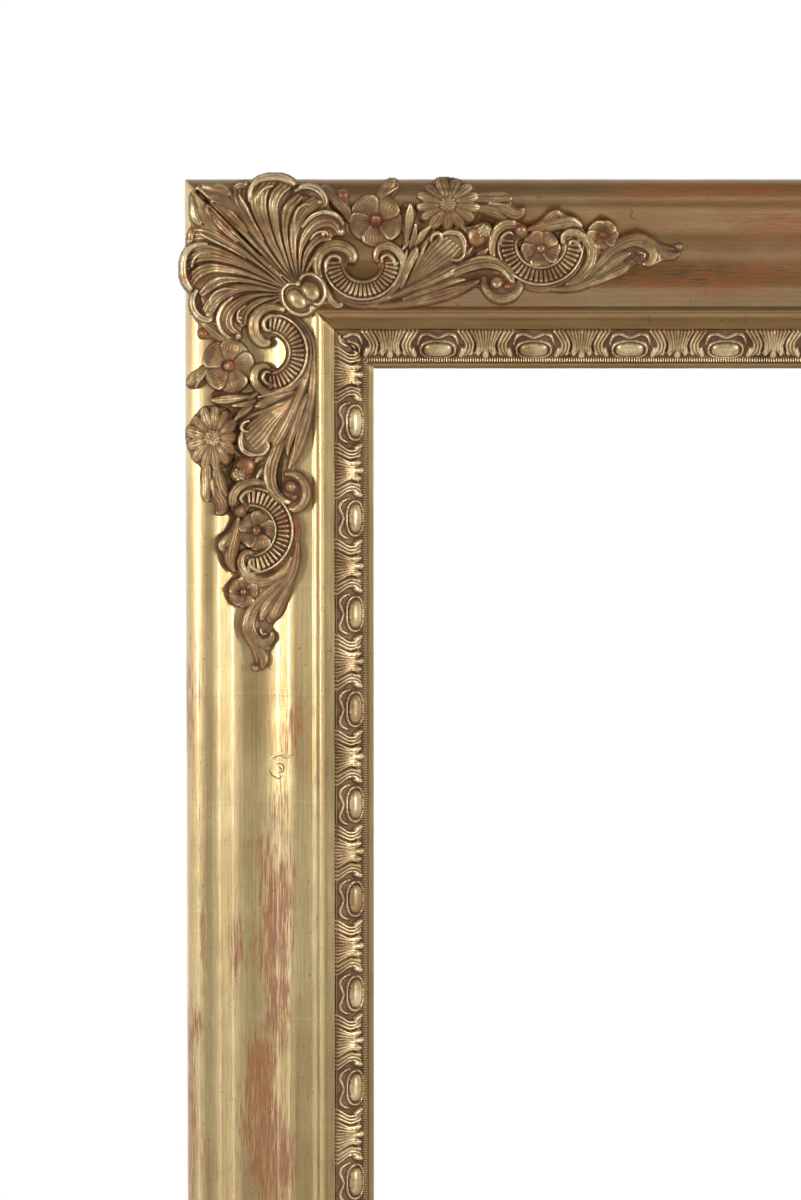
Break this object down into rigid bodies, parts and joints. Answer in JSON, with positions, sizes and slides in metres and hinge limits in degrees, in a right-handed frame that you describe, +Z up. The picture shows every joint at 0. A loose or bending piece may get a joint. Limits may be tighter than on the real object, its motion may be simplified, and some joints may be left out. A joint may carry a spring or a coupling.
{
  "type": "picture frame",
  "caption": "Upright rectangular gilded picture frame: wide coved moulding, oval and leaf sight band, foliate ornaments over the corners, rebated wooden back with hangers.",
  "frame": {"origin": "middle of the top batten's back face, where the frame bears on the wall", "axes": "+Z up along the long side, X across, +Y back into the wall, so the gilded front faces -Y"},
  "size_m": [1.0496, 0.0787, 1.2396],
  "materials": {
    "gilded_wood": "satin",
    "gilded_composition": "satin",
    "pine": "matte",
    "key_wood": "matte",
    "strap_steel": "satin",
    "ring_steel": "satin",
    "screw_steel": "satin",
    "brass": "satin"
  },
  "bodies": {
    "frame": {"bottom_batten": "pine", "bottom_cove_moulding": "gilded_wood", "bottom_left_clasp": "gilded_composition", "bottom_left_level_flowers": "gilded_composition", "bottom_left_level_foliage": "gilded_composition", "bottom_left_level_scrolls": "gilded_composition", "bottom_left_palmette": "gilded_composition", "bottom_left_upright_flowers": "gilded_composition", "bottom_left_upright_foliage": "gilded_composition", "bottom_left_upright_scrolls": "gilded_composition", "bottom_right_clasp": "gilded_composition", "bottom_right_level_flowers": "gilded_composition", "bottom_right_level_foliage": "gilded_composition", "bottom_right_level_scrolls": "gilded_composition", "bottom_right_palmette": "gilded_composition", "bottom_right_upright_flowers": "gilded_composition", "bottom_right_upright_foliage": "gilded_composition", "bottom_right_upright_scrolls": "gilded_composition", "bottom_sight_moulding": "gilded_wood", "button_screws": "screw_steel", "left_batten": "pine", "left_cove_moulding": "gilded_wood", "left_hanger_strap": "strap_steel", "left_sight_moulding": "gilded_wood", "mitre_keys": "key_wood", "right_batten": "pine", "right_cove_moulding": "gilded_wood", "right_hanger_strap": "strap_steel", "right_sight_moulding": "gilded_wood", "strap_screws": "screw_steel", "top_batten": "pine", "top_cove_moulding": "gilded_wood", "top_left_clasp": "gilded_composition", "top_left_level_flowers": "gilded_composition", "top_left_level_foliage": "gilded_composition", "top_left_level_scrolls": "gilded_composition", "top_left_palmette": "gilded_composition", "top_left_upright_flowers": "gilded_composition", "top_left_upright_foliage": "gilded_composition", "top_left_upright_scrolls": "gilded_composition", "top_right_clasp": "gilded_composition", "top_right_level_flowers": "gilded_composition", "top_right_level_foliage": "gilded_composition", "top_right_level_scrolls": "gilded_composition", "top_right_palmette": "gilded_composition", "top_right_upright_flowers": "gilded_composition", "top_right_upright_foliage": "gilded_composition", "top_right_upright_scrolls": "gilded_composition", "top_sight_moulding": "gilded_wood"},
    "left_hanging_ring": {"left_hanging_ring": "ring_steel"},
    "left_lower_turn_button": {"left_lower_turn_button": "brass"},
    "left_upper_turn_button": {"left_upper_turn_button": "brass"},
    "right_hanging_ring": {"right_hanging_ring": "ring_steel"},
    "right_lower_turn_button": {"right_lower_turn_button": "brass"},
    "right_upper_turn_button": {"right_upper_turn_button": "brass"}
  },
  "joints": [
    {"name": "left_hanging_ring_swing", "type": "hinge", "parent": "frame", "child": "left_hanging_ring", "pos_m": [-0.46422, 0.004, -0.24128], "axis": [1, 0, 0], "range_deg": [0, 180]},
    {"name": "left_upper_turn_button_turn", "type": "hinge", "parent": "frame", "child": "left_upper_turn_button", "pos_m": [-0.421, 0.0015, -0.29922], "axis": [0, 1, 0], "continuous": true},
    {"name": "left_lower_turn_button_turn", "type": "hinge", "parent": "frame", "child": "left_lower_turn_button", "pos_m": [-0.421, 0.0015, -0.81922], "axis": [0, 1, 0], "continuous": true},
    {"name": "right_hanging_ring_swing", "type": "hinge", "parent": "frame", "child": "right_hanging_ring", "pos_m": [0.46422, 0.004, -0.24128], "axis": [1, 0, 0], "range_deg": [0, 180]},
    {"name": "right_upper_turn_button_turn", "type": "hinge", "parent": "frame", "child": "right_upper_turn_button", "pos_m": [0.421, 0.0015, -0.29922], "axis": [0, 1, 0], "continuous": true},
    {"name": "right_lower_turn_button_turn", "type": "hinge", "parent": "frame", "child": "right_lower_turn_button", "pos_m": [0.421, 0.0015, -0.81922], "axis": [0, 1, 0], "continuous": true}
  ]
}
